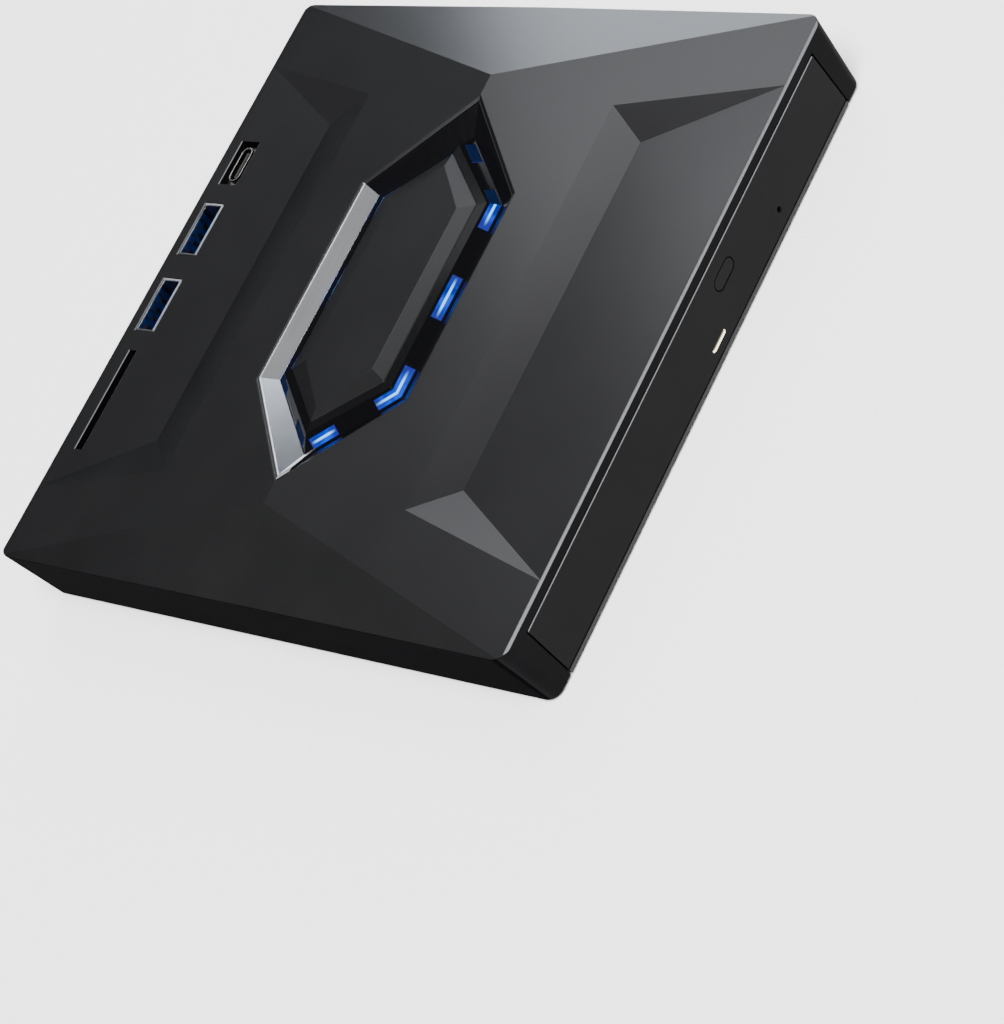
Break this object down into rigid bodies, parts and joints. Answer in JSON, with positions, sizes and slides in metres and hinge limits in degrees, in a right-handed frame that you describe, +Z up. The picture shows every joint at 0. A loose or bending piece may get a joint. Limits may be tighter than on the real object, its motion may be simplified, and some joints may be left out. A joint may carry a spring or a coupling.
{
  "type": "external disc drive",
  "caption": "Slim external disc drive: faceted black case with a lit six-sided ring, sliding tray, spindle and pickup, and sockets along the rear edge.",
  "frame": {"origin": "on the ground under the middle of the case", "axes": "+Z up, -Y towards the front with the tray's bezel, +Y towards the sockets, +X to the right seen from the front"},
  "size_m": [0.145, 0.145, 0.0234],
  "materials": {
    "case_black": "fine matte spark texture",
    "base_black": "coarse matte",
    "foot_rubber": "matte",
    "ring_gloss": "polished",
    "panel_black": "fine matte spark texture",
    "lit_blue": "frosted, lit from below",
    "trim_silver": "long brushed",
    "board_black": "solder mask",
    "led_body": "clear over white",
    "board_green": "solder mask",
    "chip_black": "moulded",
    "socket_nickel": "nickel plated",
    "tongue_blue": "moulded",
    "socket_dark": "dark nickel",
    "tongue_black": "moulded",
    "slot_black": "moulded",
    "gland_rubber": "matte",
    "drive_steel": "galvanised sheet",
    "ribbon_white": "laminated film",
    "tray_black": "fine matte",
    "bezel_black": "satin gloss",
    "light_warm": "lit, frosted",
    "latch_white": "acetal",
    "rail_black": "acetal",
    "frame_steel": "pressed plate",
    "damper_rubber": "soft",
    "rod_steel": "ground",
    "motor_steel": "laminated core",
    "rotor_steel": "turned",
    "seat_black": "satin",
    "claw_grey": "acetal",
    "motor_can": "drawn can",
    "sled_alloy": "die cast",
    "holder_black": "moulded",
    "lens_glass": "coated"
  },
  "bodies": {
    "case": {"top_cover": "case_black", "bottom_cover": "base_black", "rubber_feet": "foot_rubber", "hexagon_channel": "ring_gloss", "centre_panel": "panel_black", "light_guide": "lit_blue", "silver_trim": "trim_silver", "light_board": "board_black", "light_leds": "led_body", "hub_board": "board_green", "hub_chips": "chip_black", "usb_socket_a": "socket_nickel", "usb_socket_b": "socket_nickel", "usb_tongue_a": "tongue_blue", "usb_tongue_b": "tongue_blue", "usb_c_socket": "socket_dark", "usb_c_tongue": "tongue_black", "card_slot_housing": "slot_black", "power_socket": "socket_dark", "power_tongue": "tongue_black", "cable_gland": "gland_rubber", "drive_chassis": "drive_steel", "drive_cover": "drive_steel", "main_board": "board_green", "ribbon_cable": "ribbon_white"},
    "tray": {"disc_tray": "tray_black", "tray_bezel": "bezel_black", "status_light": "light_warm", "front_board": "board_green", "eject_switch": "chip_black", "tray_under_cover": "drive_steel", "traverse_frame": "frame_steel", "traverse_dampers": "damper_rubber", "guide_rods": "rod_steel", "spindle_motor": "motor_steel", "sled_motor": "motor_can"},
    "left_rail_body": {"left_rail": "rail_black"},
    "right_rail_body": {"right_rail": "rail_black"},
    "button": {"eject_button": "bezel_black"},
    "spindle": {"spindle_rotor": "rotor_steel", "turntable": "seat_black"},
    "claw_1": {"disc_claw_1": "claw_grey"},
    "claw_2": {"disc_claw_2": "claw_grey"},
    "claw_3": {"disc_claw_3": "claw_grey"},
    "sled": {"pickup_sled": "sled_alloy"},
    "lens": {"lens_holder": "holder_black", "objective_lens": "lens_glass"},
    "screw": {"lead_screw": "rod_steel"},
    "latch": {"latch_lever": "latch_white"}
  },
  "joints": [
    {"name": "tray_slide", "type": "slide", "parent": "case", "child": "tray", "axis": [0, -1, 0], "range_m": [0, 0.1245], "deforming": ["ribbon_cable"]},
    {"name": "left_rail_slide", "type": "slide", "parent": "case", "child": "left_rail_body", "axis": [0, -1, 0], "range_m": [0, 0.06225]},
    {"name": "right_rail_slide", "type": "slide", "parent": "case", "child": "right_rail_body", "axis": [0, -1, 0], "range_m": [0, 0.06225]},
    {"name": "eject_press", "type": "slide", "parent": "tray", "child": "button", "axis": [0, 1, 0], "range_m": [0, 0.0005], "stiffness_N_per_m": 300},
    {"name": "spindle_spin", "type": "hinge", "parent": "tray", "child": "spindle", "pos_m": [0, -0.0088, 0.01], "axis": [0, 0, 1], "continuous": true},
    {"name": "sled_slide", "type": "slide", "parent": "tray", "child": "sled", "axis": [0.7071, -0.7071, 0], "range_m": [0, 0.033]},
    {"name": "lead_screw_spin", "type": "hinge", "parent": "tray", "child": "screw", "pos_m": [0.03437, -0.01686, 0.0069], "axis": [0.7071, -0.7071, 0], "range_deg": [0, 3970]},
    {"name": "lens_focus", "type": "slide", "parent": "sled", "child": "lens", "axis": [0, 0, 1], "range_m": [-0.0004, 0.0004], "stiffness_N_per_m": 40},
    {"name": "latch_swing", "type": "hinge", "parent": "tray", "child": "latch", "pos_m": [-0.038, -0.064, 0.005], "axis": [0, 0, 1], "range_deg": [0, 20]},
    {"name": "claw_1_slide", "type": "slide", "parent": "spindle", "child": "claw_1", "axis": [-0.7071, 0.7071, 0], "range_m": [0, 0.0006], "stiffness_N_per_m": 100},
    {"name": "claw_2_slide", "type": "slide", "parent": "spindle", "child": "claw_2", "axis": [-0.2588, -0.9659, 0], "range_m": [0, 0.0006], "stiffness_N_per_m": 100},
    {"name": "claw_3_slide", "type": "slide", "parent": "spindle", "child": "claw_3", "axis": [0.9659, 0.2588, 0], "range_m": [0, 0.0006], "stiffness_N_per_m": 100}
  ],
  "couplings": [
    {"joint": "left_rail_slide", "follows": "tray_slide", "ratio": 0.5},
    {"joint": "right_rail_slide", "follows": "tray_slide", "ratio": 0.5},
    {"joint": "lead_screw_spin", "follows": "sled_slide", "rad_per_m": 2094.4}
  ]
}
